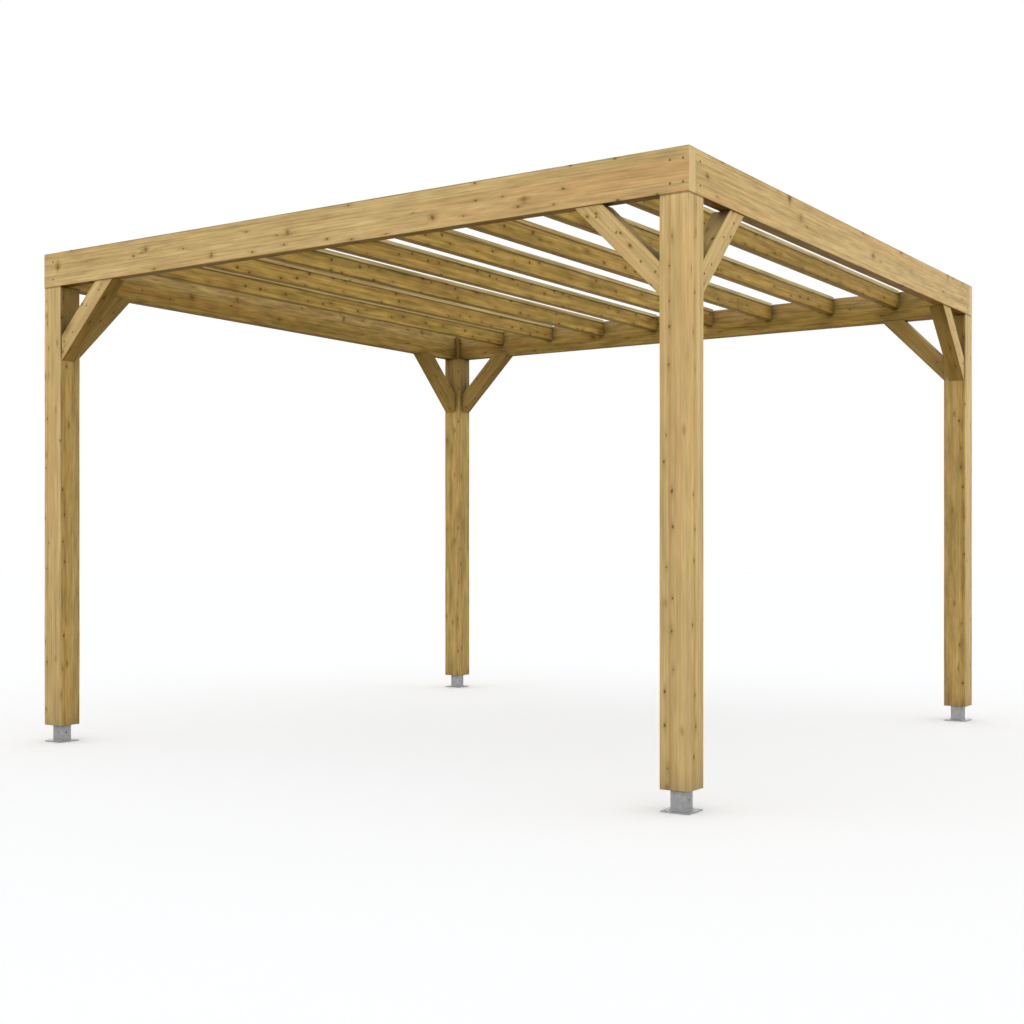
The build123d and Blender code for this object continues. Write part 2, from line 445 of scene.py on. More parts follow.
def stave_tone(b, start):
    """Strips of even tone walked round the section, with a darker seam between two.

    The place of a stave is the way round plus a slow drift along the timber, divided by the stave's width.
    """
    along, around, seed = b.split(start["Face"])
    drift = b.noise(b.join(b.times(along, DRIFT_ALONG), b.times(around, DRIFT_ROUND), seed), detail=1.0)
    place = b.over(b.scaled(drift, DRIFT_REACH, around), start["Stave width"])
    feeds = {"W": b.scaled(seed, STAVE_MOVE, place), "Randomness": STAVE_LOOSENESS}
    stave = b.cells(feeds, voronoi_dimensions="1D", feature="F1")
    seam = b.cells(feeds, voronoi_dimensions="1D", feature="DISTANCE_TO_EDGE")
    dark = b.times(b.ease(seam["Distance"], *SEAM_SHOWS), SEAM_PART)
    return b.times(b.minus(b.swing(b.chances(stave)[0], STAVE_GAIN), dark), start["Stave tone"])


def painted_shade(b, start, wood):
    """Painted shade and painted light on the wood.

    A deeper tint paints shade on the faces inside the frame, and painted light from above takes it back
    towards the top. A second tint paints shade from its start to the top of those faces. Faces that look
    down take painted shade from a third tint. The shade line paints a dark line at the top of upright
    faces, and the arris shade paints shade on the arrises of the faces inside.
    """
    rise, in_shade, facing = start["Rise"], start["Sheltered"], start["Facing up"]
    top_light = b.minus(1.0, b.times(b.ease(rise, *TOP_LIGHT_SHOWS), start["Lift part"]))
    damp = b.times(b.ease(rise, start["Damp start"], 1.0), in_shade, start["Damp part"])
    under = b.larger(b.times(facing, -1.0), 0.0)
    for part, tint in ((b.times(in_shade, start["Shelter part"], top_light), "Shelter tint"), (damp, "Damp tint"),
                       (b.times(under, start["Under part"]), "Under tint")):
        wood = b.blend(part, wood, start[tint], "MULTIPLY")
    upright = b.minus(1.0, b.larger(facing, 0.0))
    line = b.times(b.ease(rise, start["Line start"], start["Line stop"]), start["Shade line"], upright)
    arris = b.times(start["Arris"], in_shade, start["Arris shade"])
    return b.toned(wood, b.minus(1.0, b.larger(line, arris)))


def pine_group():
    """Planed softwood as a solid pattern.

    Year rings lie round the pith: the ring number is the distance from the pith, bent by slow noise along
    the timber and by the halo of each knot, divided by the ring width. Within a ring the dark share rises
    slowly and drops at once. Fibres, lines, streaks, mottle and broad casts are noises drawn out along the
    grain. Pins are small knots in a darker column, and branches are large ones with ragged hearts.
    """
    name = "Planed softwood"
    tree = bpy.data.node_groups.get(name)
    if tree:
        return tree
    takes = [(label, "vector") for label in VECTOR_MARKS]
    takes += [(label, "value") for label in (*VALUE_MARKS, "Ring width")]
    takes += [(label, "colour") for label in TIMBER_TINTS]
    takes += [(label, "value", default) for label, default in PLAIN_HABITS.items()]
    tree, b, start, stop = new_group(name, takes, SURFACE)
    _, deep, wide = b.split(start["Grain"])
    seed = b.split(start["Face"])[2]

    def knots(word, series):
        """One scatter of knots with the habits of its word."""
        node = b.put("ShaderNodeGroup", {"Face": start["Face"], "Series": series}, node_tree=knot_group())
        for habit in KNOT_HABITS:
            b.feed(node.inputs[habit.capitalize()], start[word + " " + habit])
        return node.outputs

    pins, branches = knots("Pin", PIN_SERIES), knots("Branch", BRANCH_SERIES)
    side = b.minus(1.0, start["End cut"])
    pin_halo = b.times(pins["Halo"], side)
    branch_halo = b.times(branches["Halo"], side)
    noise = {}
    for word, (along, across, shift, detail, roughness) in GRAIN_NOISES.items():
        noise[word] = b.noise(b.stretch(start["Grain"], (along, across, across), shift), detail, roughness)

    bent = b.scaled(noise["wander"], WANDER_BEND, b.math("SQRT", b.squares(deep, wide)))
    bent = b.scaled(branch_halo, BRANCH_BEND, bent)
    rings = b.over(b.scaled(pin_halo, PIN_BEND, bent), start["Ring width"])
    year = b.noise(b.join(b.times(rings, YEAR_STEP), b.times(seed, YEAR_MOVE)), detail=1.0)
    late = b.times(b.math("POWER", b.math("FRACT", rings), LATE_CURVE), b.ease(year, *YEAR_SHOWS))
    wood = b.blend(b.times(late, start["Ring part"]), start["Early wood"], start["Late wood"])

    flame = b.larger(branch_halo, b.times(pin_halo, PIN_FLAME))
    flame = b.times(flame, b.ease(noise["streak"], *FLAME_SHOWS))
    for part, tint in ((b.times(b.ease(noise["line"], *LINE_SHOWS), start["Line part"]), "Late wood"),
                       (b.times(b.ease(noise["cast"], *CAST_SHOWS), start["Cast part"]), "Treated"),
                       (b.times(b.ease(noise["warm"], *CAST_SHOWS), start["Warm part"]), "Heart"),
                       (b.times(pins["Column"], side, start["Column part"]), "Column tint"),
                       (b.times(flame, FLAME_PART), "Knot rim")):
        wood = b.blend(part, wood, start[tint])

    tone = b.plus(start["Tone"], b.swing(noise["streak"], b.times(start["Streak tone"], STREAK_GAIN)))
    cloudy = b.times(start["Mottle tone"], b.scaled(start["Sheltered"], MOTTLE_IN_SHADE, MOTTLE_GAIN))
    chance = b.put("ShaderNodeTexWhiteNoise", {"W": seed}, noise_dimensions="1D").outputs[0]
    for part in (b.swing(noise["mottle"], cloudy), b.swing(noise["fibre"], start["Fibre tone"]),
                 stave_tone(b, start), b.swing(chance, TIMBER_SWING),
                 b.times(pin_halo, -PIN_SHADE), b.times(branch_halo, -BRANCH_SHADE)):
        tone = b.plus(tone, part)
    wood = b.toned(wood, tone)

    rim = b.times(b.larger(pins["Rim"], b.times(branches["Rim"], start["Branch core"])), side)
    ragged = b.ease(b.scaled(noise["fibre"], 0.5, b.times(noise["mottle"], 0.5)), *RAGGED_SHOWS)
    core = b.larger(b.times(pins["Core"], start["Pin core"]),
                    b.times(branches["Core"], ragged, start["Branch core"]))
    core = b.times(core, side)
    wood = b.blend(b.times(rim, RIM_PART), wood, start["Knot rim"])
    wood = b.blend(core, wood, start["Knot"])
    sawn = b.blend(b.times(late, SAWN_RINGS), start["End wood"], start["Late wood"])
    sawn = b.toned(sawn, b.scaled(noise["fibre"], SAWN_FIBRE, SAWN_TONE))
    # painted shade and painted light over the wood
    wood = painted_shade(b, start, b.blend(start["End cut"], wood, sawn))
    wear = b.times(start["Arris"], b.ease(noise["wear"], *WEAR_SHOWS))
    b.feed(stop["Color"], b.blend(b.times(wear, WEAR_PART), wood, start["End wood"]))

    rough = b.scaled(noise["fibre"], FIBRE_ROUGH, WOOD_ROUGH)
    rough = b.scaled(core, KNOT_ROUGH, b.scaled(late, LATE_ROUGH, rough))
    b.feed(stop["Roughness"], b.scaled(wear, WEAR_ROUGH, rough))
    relief = b.scaled(noise["fibre"], FIBRE_RELIEF, b.times(late, LATE_RELIEF))
    b.feed(stop["Height"], b.scaled(core, KNOT_RELIEF, relief))
    return tree


def fresh_material(name):
    """A new material with only its Principled shader, and the bench of its tree."""
    material = bpy.data.materials.new(name)
    material.use_nodes = True
    tree = material.node_tree
    shader = next(node for node in tree.nodes if node.type == "BSDF_PRINCIPLED")
    return material, Bench(tree), shader


def dress_shader(b, shader, surface, tint, strength, depth):
    """Feeds a shader with a group's colour, roughness and relief."""
    feeds = {"Height": surface["Height"], "Strength": strength, "Distance": depth}
    bump = b.put("ShaderNodeBump", feeds)
    b.feed(shader.inputs["Base Color"], tint)
    b.feed(shader.inputs["Roughness"], surface["Roughness"])
    b.feed(shader.inputs["Normal"], bump.outputs["Normal"])


# where the painted crevice shade shows, and how many rays it samples
CREVICE_SHADE_SHOWS, CREVICE_SAMPLES = (0.30, 0.92), 8
WOOD_BUMP, WOOD_DEPTH, WOOD_SHINE = 0.35, 0.0008, 0.05


def timber_finish(slot):
    """Planed softwood with the habits of one slot: how many knots, staves and streaks it shows."""
    name = slot.replace("_", " ")
    material = bpy.data.materials.get(name)
    if material:
        return material
    look = bpy.context.scene.pergola_timber
    material, b, shader = fresh_material(name)
    wood = b.put("ShaderNodeGroup", {"Ring width": look.ring_width}, node_tree=pine_group())
    for marks, output in ((VECTOR_MARKS, "Vector"), (VALUE_MARKS, "Fac")):
        for socket, attribute in marks.items():
            read = b.put("ShaderNodeAttribute", attribute_name=attribute)
            b.feed(wood.inputs[socket], read.outputs[output])
    for socket, tint in TIMBER_TINTS.items():
        b.feed(wood.inputs[socket], tuple(getattr(look, tint)))
    if slot == "lath_timber":
        b.feed(wood.inputs["Early wood"], tuple(look.lath_wood))
    for socket, value in TIMBER_HABITS[slot].items():
        b.feed(wood.inputs[socket], value)
    # painted shade: ambient occlusion darkens the wood in joints and crevices
    reach = look.brace_shade_reach if slot == "brace_timber" else look.crevice_shade_reach
    crevice = b.put("ShaderNodeAmbientOcclusion", {"Distance": reach}, samples=CREVICE_SAMPLES).outputs["AO"]
    shade = b.ease(crevice, *CREVICE_SHADE_SHOWS, look.crevice_shade_tone, 1.0)
    dress_shader(b, shader, wood.outputs, b.toned(wood.outputs["Color"], shade), WOOD_BUMP, WOOD_DEPTH)
    shader.inputs["Specular IOR Level"].default_value = WOOD_SHINE
    return material


ARC_STEPS, FLAT_STEPS = 4, 3
END_STATIONS, LEAST_STATIONS, STATION_GAP = 4, 4, 0.14
# waves of the arris along a timber, how strong they are, between which shares they keep the radius, and how
# much of the radius the easing of an end may take
ARRIS_WAVES, ARRIS_WANDER, ARRIS_LIMITS, ARRIS_DRAW = (1, 2, 3), 0.12, (0.6, 1.4), 0.5
# furthest start of a timber's pattern, and how many numbers its knots and staves have to go by
GRAIN_START, TIMBER_NUMBERS = 17.0, 97
# how far inside the frame's outer faces a face can still be out of the painted shade
RING_REACH = 0.13


def rounded_section(half_wide, half_deep, radius):
    """A rounded rectangle carried along stations.

    Each corner is a quarter circle of the radius at that station, centred the radius inside both faces;
    each face between two corners is a straight run. Returns across and up as arrays of stations by points,
    their outward normals, the length walked round the section and which points lie within a corner.
    """
    turn = np.linspace(0.0, QUARTER_TURN, ARC_STEPS + 1)
    angle = np.concatenate([turn + quarter * QUARTER_TURN for quarter in range(4)])
    sign_x = np.repeat((1.0, -1.0, -1.0, 1.0), ARC_STEPS + 1)
    sign_y = np.repeat((1.0, 1.0, -1.0, -1.0), ARC_STEPS + 1)
    r = radius[:, None]
    x = sign_x * (half_wide[:, None] - r) + r * np.cos(angle)
    y = sign_y * (half_deep[:, None] - r) + r * np.sin(angle)
    step = np.tile(np.arange(ARC_STEPS + FLAT_STEPS), 4)
    corner = np.repeat(np.arange(4), ARC_STEPS + FLAT_STEPS)
    here = corner * (ARC_STEPS + 1) + np.minimum(step, ARC_STEPS)
    following = (here + (step > ARC_STEPS)) % len(angle)
    part = np.maximum(step - ARC_STEPS, 0) / FLAT_STEPS
    x = x[:, here] * (1 - part) + x[:, following] * part
    y = y[:, here] * (1 - part) + y[:, following] * part
    middle = len(x) // 2
    gaps = np.hypot(*(np.diff(c[middle], append=c[middle, :1]) for c in (x, y)))
    walk = np.concatenate([[0.0], np.cumsum(gaps)])
    return x, y, np.cos(angle)[here], np.sin(angle)[here], walk, (step > 0) & (step < ARC_STEPS)


def grid_quads(rows, cols, closed=False):
    """Corners of the faces of a grid of points, whose rows close on themselves.

    A closed grid's last row meets its first.
    """
    i, j = np.meshgrid(np.arange(rows if closed else rows - 1), np.arange(cols), indexing="ij")
    here, below, beside = i * cols, (i + 1) % rows * cols, (j + 1) % cols
    return np.stack([here + j, below + j, below + beside, here + beside], -1).reshape(-1, 4)


def put_mesh(name, points, faces, sizes, normals=None, smooth=True):
    """A mesh from whole arrays: points, face corners in one row, corners to a face and corner normals."""
    mesh = bpy.data.meshes.new(name)
    mesh.vertices.add(len(points))
    mesh.vertices.foreach_set("co", np.ascontiguousarray(points, np.float32).ravel())
    mesh.loops.add(len(faces))
    mesh.loops.foreach_set("vertex_index", faces.astype(np.int32))
    mesh.polygons.add(len(sizes))
    starts = np.concatenate([[0], np.cumsum(sizes)[:-1]])
    mesh.polygons.foreach_set("loop_start", starts.astype(np.int32))
    mesh.update(calc_edges=True)
    mesh.polygons.foreach_set("use_smooth", np.full(len(sizes), smooth))
    if normals is not None:
        mesh.normals_split_custom_set(normals.tolist())
    if mesh.validate():
        raise RuntimeError(name + ": the mesh had faults")
    return mesh


def mark(mesh, name, domain, values):
    """Keeps a number or a vector for every point, corner or face of a mesh under a name."""
    values = np.asarray(values, np.float32)
    kind, field = ("FLOAT_VECTOR", "vector") if values.ndim == 2 else ("FLOAT", "value")
    mesh.attributes.new(name, kind, domain).data.foreach_set(field, values.ravel())


def finish_piece(name, mesh, material, slot, *nodes):
    """Puts a finished mesh into the scene as a piece of the pergola."""
    mesh.materials.append(material)
    piece = bpy.data.objects.new(name, mesh)
    bpy.context.scene.collection.objects.link(piece)
    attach(piece, "root")
    if nodes:
        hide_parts(*nodes)
    return piece


def sheltered(points, normals):
    """How far each face corner lies in the painted shade inside the frame, 0 to 1.

    A face is out of that shade as far as it looks up, or away from the frame near the frame's outer faces.
    """
    reach = np.abs(np.asarray(CAD_BOX)).max(axis=0)[:2] - RING_REACH
    outward = np.sign(points[:, :2]) * normals[:, :2] * (np.abs(points[:, :2]) > reach)
    exposed = np.maximum(outward.max(axis=1), normals[:, 2])
    return 1 - np.clip(exposed, 0, 1)


def cap_normal(ring, outward):
    """The normal of a flat end, from three points of its ring, turned outward."""
    count = len(ring)
    normal = np.cross(ring[count // 4] - ring[0], ring[count // 2] - ring[0])
    normal /= np.linalg.norm(normal)
    return np.tile(normal * np.sign(normal @ outward), (count, 1))


def carry_timber(name, centre, axes, halves, ends, radius, end_ease, seed, pith):
    """A timber: a rounded rectangle carried along a straight axis between two cut planes.

    A point is centre + u along + x across + y deep. u runs from ends[0] to ends[1], each a function of x,
    so a mitre is a sloped end. At both ends the section draws in by the easing, as a quarter circle does.
    The arris radius wanders a little along the timber.
    """
    rng = np.random.default_rng(seed)
    half_wide, half_deep = halves
    run = float(np.mean(ends[1](np.zeros(1)) - ends[0](np.zeros(1))))
    count = max(LEAST_STATIONS, int(run / STATION_GAP))
    turn = np.linspace(0.0, QUARTER_TURN, END_STATIONS)
    lead = end_ease * (1 - np.cos(turn)) / run
    draw = end_ease * (1 - np.sin(turn))
    inner = np.linspace(lead[-1], 1 - lead[-1], count + 1)[1:-1]
    level = np.zeros(len(inner))
    t = np.concatenate([lead, inner, 1 - lead[::-1]])
    inset = np.concatenate([draw, level, draw[::-1]])
    tilt = np.concatenate([-np.cos(turn), level, np.cos(turn[::-1])])
    wave = sum(rng.normal() * np.sin(FULL_TURN * (k * t + rng.random())) for k in ARRIS_WAVES)
    r = radius * np.clip(1 + ARRIS_WANDER * wave, *ARRIS_LIMITS) - np.minimum(inset, radius * ARRIS_DRAW)
    x, y, nx, ny, walk, on_arc = rounded_section(half_wide - inset, half_deep - inset, r)
    rows, cols = x.shape
    start, stop = ends[0](x), ends[1](x)
    u = start + t[:, None] * (stop - start)
    along, across, deep = (np.asarray(a, float) for a in axes)
    rings = centre + u[..., None] * along + x[..., None] * across + y[..., None] * deep
    points = rings.reshape(-1, 3)
    quads = grid_quads(rows, cols)[:, [0, 3, 2, 1]]
    ring = np.arange(cols)
    faces = np.concatenate([quads.ravel(), ring[::-1], (rows - 1) * cols + ring])
    sizes = np.concatenate([np.full(len(quads), 4), [cols, cols]])
    side = nx[:, None] * across + ny[:, None] * deep
    normal = side[None] * np.sqrt(1 - tilt ** 2)[:, None, None] + tilt[:, None, None] * along
    normals = np.concatenate([
        normal.reshape(-1, 3)[quads.ravel()], cap_normal(rings[0], -along), cap_normal(rings[-1], along)])
    mesh = put_mesh(name, points, faces, sizes, normals)

    offset = GRAIN_START * rng.random()
    mark(mesh, "grain", "POINT", np.stack([u + offset, x - pith[0], y - pith[1]], -1).reshape(-1, 3))
    j = quads[:, 0] % cols
    walked = np.stack([walk[j], walk[j + 1], walk[j + 1], walk[j]], -1).ravel()
    walked = np.concatenate([walked, walk[:cols][::-1], walk[:cols]])
    number = np.full(len(faces), float(seed % TIMBER_NUMBERS))
    mark(mesh, "face_walk", "CORNER", np.stack([u.ravel()[faces] + offset, walked, number], -1))
    mark(mesh, "end_cut", "FACE", sizes != 4)
    # painted shade: how far each corner lies in the shade inside the frame
    mark(mesh, "sheltered", "CORNER", sheltered(points[faces], normals))
    mark(mesh, "facing_up", "CORNER", normals[:, 2])
    mark(mesh, "rise", "POINT", (points[:, 2] - points[:, 2].min()) / np.ptp(points[:, 2]))
    mark(mesh, "arris", "POINT", np.tile(on_arc, rows) | np.repeat(inset > 0, cols))
    return mesh


# first number of each group of timbers, and how far the draws for their piths lie from it
POST_SEED, BEAM_SEED, RAFTER_SEED, LATH_SEED, BRACE_SEED, BATTEN_SEED = 11, 21, 31, 51, 61, 81
PITH_SEED = 5000
# how far from the middle the pith lies: in half sections of a straight timber, and in metres in a brace
PITH_REACH, BRACE_PITH_ACROSS, BRACE_PITH_DEEP = (0.6, 1.3), (-0.03, 0.03), (0.05, 0.09)
# rounding of the smaller timbers, as a share of the arris
RAFTER_ARRIS, LATH_ARRIS, BATTEN_ARRIS = 0.8, 0.5, 0.6


def straight_timber(node, axis, radius, slot, seed):
    """A square-cut timber that takes the place of a CAD bar, its long way along one axis."""
    look = bpy.context.scene.pergola_timber
    low, high = (np.array(corner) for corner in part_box(node))
    order = [axis, (axis + 1) % 3, (axis + 2) % 3]
    half_long, half_wide, half_deep = ((high - low) / 2)[order]
    rng = np.random.default_rng(seed + PITH_SEED)
    angle = rng.uniform(0, FULL_TURN)
    reach = (half_wide + half_deep) * rng.uniform(*PITH_REACH)
    pith = reach * np.array([np.cos(angle), np.sin(angle)])
    ends = (lambda x: np.full_like(x, -half_long), lambda x: np.full_like(x, half_long))
    mesh = carry_timber("timber_" + node, (low + high) / 2, np.eye(3)[order], (half_wide, half_deep),
                        ends, radius, look.end_arris, seed, pith)
    return finish_piece("timber_" + node, mesh, timber_finish(slot), slot, node)


class PERGOLA_OT_posts(bpy.types.Operator):
    """Four square posts with rounded arrises"""
    bl_idname = "pergola.posts"
    bl_label = "Posts"

    def execute(self, context):
        radius = context.scene.pergola_timber.post_arris
        for number, corner in enumerate(CORNERS):
            straight_timber("post_" + corner, ALONG_Z, radius, "post_timber", POST_SEED + number)
        return {"FINISHED"}


class PERGOLA_OT_beams(bpy.types.Operator):
    """Four ring beams on edge"""
    bl_idname = "pergola.beams"
    bl_label = "Ring beams"

    def execute(self, context):
        radius = context.scene.pergola_timber.arris
        for number, (side, axis) in enumerate(
                (("front", ALONG_X), ("back", ALONG_X), ("left", ALONG_Y), ("right", ALONG_Y))):
            straight_timber("beam_" + side, axis, radius, "beam_timber", BEAM_SEED + number)
        return {"FINISHED"}


class PERGOLA_OT_rafters(bpy.types.Operator):
    """Rafters between the front and back beams, with the laths on them"""
    bl_idname = "pergola.rafters"
    bl_label = "Rafters and laths"

    def execute(self, context):
        radius = context.scene.pergola_timber.arris
        for word, seed, part in (("rafter_", RAFTER_SEED, RAFTER_ARRIS), ("lath_", LATH_SEED, LATH_ARRIS)):
            found = sorted(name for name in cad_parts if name.startswith(word))
            if not found:
                raise RuntimeError("no node starts with " + word)
            for number, name in enumerate(found):
                straight_timber(name, ALONG_Y, radius * part, word + "timber", seed + number)
        return {"FINISHED"}


# how near to the plane of its post face a corner of a brace counts as on it
FACE_SLACK = 1e-4


def braces_at(corner):
    """The braces of a post: node, axis along it, sign towards the post and sign outwards across the axis."""
    sign_x = 1.0 if corner.endswith("right") else -1.0
    sign_y = 1.0 if corner.startswith("back") else -1.0
    return (("brace_x_" + corner, ALONG_X, sign_x, sign_y), ("brace_y_" + corner, ALONG_Y, sign_y, sign_x))


def brace_sizes(node, axis, sign):
    """Low and high corner of a brace, its leg, the place of its post face and half its depth.

    The cut at the post is as tall as the depth times root two.
    """
    low, high = (np.array(c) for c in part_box(node))
    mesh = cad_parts[node].data
    co = np.empty(len(mesh.vertices) * 3, np.float32)
    mesh.vertices.foreach_get("co", co)
    co = co.reshape(-1, 3)
    face = co[:, axis].max() if sign > 0 else co[:, axis].min()
    cut = np.ptp(co[np.abs(co[:, axis] - face) < FACE_SLACK, 2])
    post = high[axis] if sign > 0 else low[axis]
    return low, high, high[2] - low[2], post, float(cut) / ROOT_TWO / 2


class PERGOLA_OT_braces(bpy.types.Operator):
    """Two mitred braces at every post"""
    bl_idname = "pergola.braces"
    bl_label = "Braces"

    def execute(self, context):
        look = context.scene.pergola_timber
        braces = [brace for corner in CORNERS for brace in braces_at(corner)]
        for seed, (node, axis, sign, _) in enumerate(braces, BRACE_SEED):
            low, high, leg, post, half_wide = brace_sizes(node, axis, sign)
            inward = -sign * np.eye(3)[axis]
            along, across = (inward + UP) / ROOT_TWO, (inward - UP) / ROOT_TWO
            reach = leg / ROOT_TWO - half_wide
            middle = (low + high) / 2
            half_deep = (high - low)[1 - axis] / 2
            middle[axis] = post - sign * reach / ROOT_TWO
            middle[2] = high[2] - reach / ROOT_TWO
            ends = (lambda x, r=reach: -r - x, lambda x, r=reach: r + x)
            rng = np.random.default_rng(seed + PITH_SEED)
            pith = (rng.uniform(*BRACE_PITH_ACROSS), rng.choice((-1, 1)) * rng.uniform(*BRACE_PITH_DEEP))
            mesh = carry_timber("timber_" + node, middle, (along, across, np.cross(along, across)),
                                (half_wide, half_deep), ends, look.arris, look.mitre_arris, seed, pith)
            finish_piece("timber_" + node, mesh, timber_finish("brace_timber"), "brace_timber", node)
        return {"FINISHED"}


class PERGOLA_OT_battens(bpy.types.Operator):
    """Upright battens in the inner corners of the ring"""
    bl_idname = "pergola.battens"
    bl_label = "Battens"

    def execute(self, context):
        radius = context.scene.pergola_timber.arris * BATTEN_ARRIS
        for number, corner in enumerate(CORNERS):
            straight_timber("batten_" + corner, ALONG_Z, radius, "batten_timber", BATTEN_SEED + number)
        return {"FINISHED"}


# steps to a metre of the zinc's crystals, film and pits
CRYSTAL_STEPS, FILM_STEPS, PIT_STEPS = (95.0,) * 3, (24.0,) * 3, (420.0,) * 3
CRYSTAL_PART, FILM_PART, CRYSTAL_RELIEF = 0.45, 0.5, 0.3
ZINC_ROUGH, CRYSTAL_ROUGH, PIT_ROUGH = 0.42, 0.12, 0.14
ZINC_BUMP, ZINC_DEPTH, ZINC_METAL = 0.25, 0.0004, 0.75


def zinc_group():
    """Dull zinc: crystals of differing grey, a cloudy film over them and fine pitting."""
    name = "Dull zinc"
    tree = bpy.data.node_groups.get(name)
    if tree:
        return tree
    tree, b, start, stop = new_group(
        name, [("Place", "vector"), ("Light", "colour"), ("Dark", "colour")], SURFACE)
    place = start["Place"]
    chance = b.chances(b.cells({"Vector": b.stretch(place, CRYSTAL_STEPS)}))[0]
    film = b.noise(b.stretch(place, FILM_STEPS), detail=3.0)
    pits = b.noise(b.stretch(place, PIT_STEPS))
    dark = b.scaled(chance, CRYSTAL_PART, b.times(film, FILM_PART))
    b.feed(stop["Color"], b.blend(dark, start["Light"], start["Dark"]))
    b.feed(stop["Roughness"], b.scaled(pits, PIT_ROUGH, b.scaled(chance, CRYSTAL_ROUGH, ZINC_ROUGH)))
    b.feed(stop["Height"], b.scaled(chance, CRYSTAL_RELIEF, pits))
    return tree


def zinc_finish():
    """Galvanised steel of the feet and welds."""
    name = "galvanised steel"
    material = bpy.data.materials.get(name)
    if material:
        return material
    look = bpy.context.scene.pergola_feet
    material, b, shader = fresh_material(name)
    feeds = {"Place": b.put("ShaderNodeTexCoord").outputs["Object"],
             "Light": tuple(look.zinc), "Dark": tuple(look.zinc_dark)}
    zinc = b.put("ShaderNodeGroup", feeds, node_tree=zinc_group()).outputs
    dress_shader(b, shader, zinc, zinc["Color"], ZINC_BUMP, ZINC_DEPTH)
    shader.inputs["Metallic"].default_value = ZINC_METAL
    return material


# sizes of a foot's tube and plate, and points of the bead's path and section
TUBE_SIDE, TUBE_CORNER, PLATE_THICK = 0.062, 0.004, 0.005
WELD_STEPS, WELD_SIDES, WELD_RIPPLES, RIPPLE_PART = 192, 8, 64, 0.12


def weld_bead(name, node, radius):
    """A weld bead: a circle carried round the foot of the square tube.

    The path is a rounded square. The circle's radius swells and shrinks as a sine with every ripple.
    """
    low, high = (np.array(c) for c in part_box(node))
    middle = (low + high) / 2
    half = TUBE_SIDE / 2 - TUBE_CORNER
    straight, arc = 2 * half, TUBE_CORNER * QUARTER_TURN
    whole = 4 * (straight + arc)
    s = np.arange(WELD_STEPS) / WELD_STEPS * whole
    quarter = np.floor(s / (straight + arc)).astype(int)
    rest = s - quarter * (straight + arc)
    bend = np.clip((rest - straight) / TUBE_CORNER, 0, None)
    base = quarter * QUARTER_TURN
    x = half + TUBE_CORNER * np.cos(bend)
    y = np.minimum(rest, straight) - half + TUBE_CORNER * np.sin(bend)
    px = x * np.cos(base) - y * np.sin(base)
    py = x * np.sin(base) + y * np.cos(base)
    out = np.stack([np.cos(base + bend), np.sin(base + bend), np.zeros_like(s)], -1)
    line = np.stack([px + middle[0], py + middle[1], np.full_like(s, PLATE_THICK)], -1)
    r = radius * (1 + RIPPLE_PART * np.sin(FULL_TURN * WELD_RIPPLES * s / whole))
    phi = np.arange(WELD_SIDES) / WELD_SIDES * FULL_TURN
    ring = np.cos(phi)[None, :, None] * out[:, None] + np.sin(phi)[None, :, None] * UP
    points = (line[:, None] + r[:, None, None] * ring).reshape(-1, 3)
    quads = grid_quads(WELD_STEPS, WELD_SIDES, closed=True)
    return put_mesh(name, points, quads.ravel(), np.full(len(quads), 4))


class PERGOLA_OT_feet(bpy.types.Operator):
    """Zinc finish on the steel feet and a weld bead where each tube meets its plate"""
    bl_idname = "pergola.feet"
    bl_label = "Feet"

    def execute(self, context):
        look = context.scene.pergola_feet
        for corner in CORNERS:
            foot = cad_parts["foot_" + corner]
            foot.data.materials.clear()
            foot.data.materials.append(zinc_finish())
            mesh = weld_bead("weld_" + corner, "foot_" + corner, look.weld_radius)
            finish_piece("weld_" + corner, mesh, zinc_finish(), "galvanised_steel")
        return {"FINISHED"}


# steps to a metre of the scuffs, where they show, how bright they are, and the finish of the coating
SCUFF_STEPS, SCUFF_SHOWS, SCUFF_GAIN = (900.0,) * 3, (0.5, 0.75), 1.9
COATING_ROUGH, SCUFF_ROUGH, COATING_METAL = 0.35, 0.3, 0.6


def coated_finish():
    """Brown coated screw steel, scuffed bright in places."""
    name = "coated screw steel"
    material = bpy.data.materials.get(name)
    if material:
        return material
    dark = tuple(bpy.context.scene.pergola_fixings.coating)
    bright = tuple(min(1.0, c * SCUFF_GAIN) for c in dark)
    material, b, shader = fresh_material(name)
    place = b.put("ShaderNodeTexCoord").outputs["Object"]
    scuff = b.noise(b.stretch(place, SCUFF_STEPS), detail=3.0)
    b.feed(shader.inputs["Base Color"], b.blend(b.ease(scuff, *SCUFF_SHOWS), dark, bright))
    b.feed(shader.inputs["Roughness"], b.scaled(scuff, SCUFF_ROUGH, COATING_ROUGH))
    shader.inputs["Metallic"].default_value = COATING_METAL
    return material


# points round a head, lobes of the drive and how deep they wave
HEAD_ROUND, DRIVE_LOBES, LOBE_WAVE = 18, 6, 0.16
# rings of a head: share of its radius, share of the lobes' wave, share of its rise
HEAD_RINGS = np.array([
    (0.34, 1.0, 1.0), (0.42, 1.0, 1.0), (0.78, 0.0, 0.85), (0.97, 0.0, 0.35), (1.0, 0.0, 0.0)])
# how far the rim goes under the wood
RIM_DROP = 0.0015
# how upright a screw may stand before its sides are taken from x
STEEP = 0.9


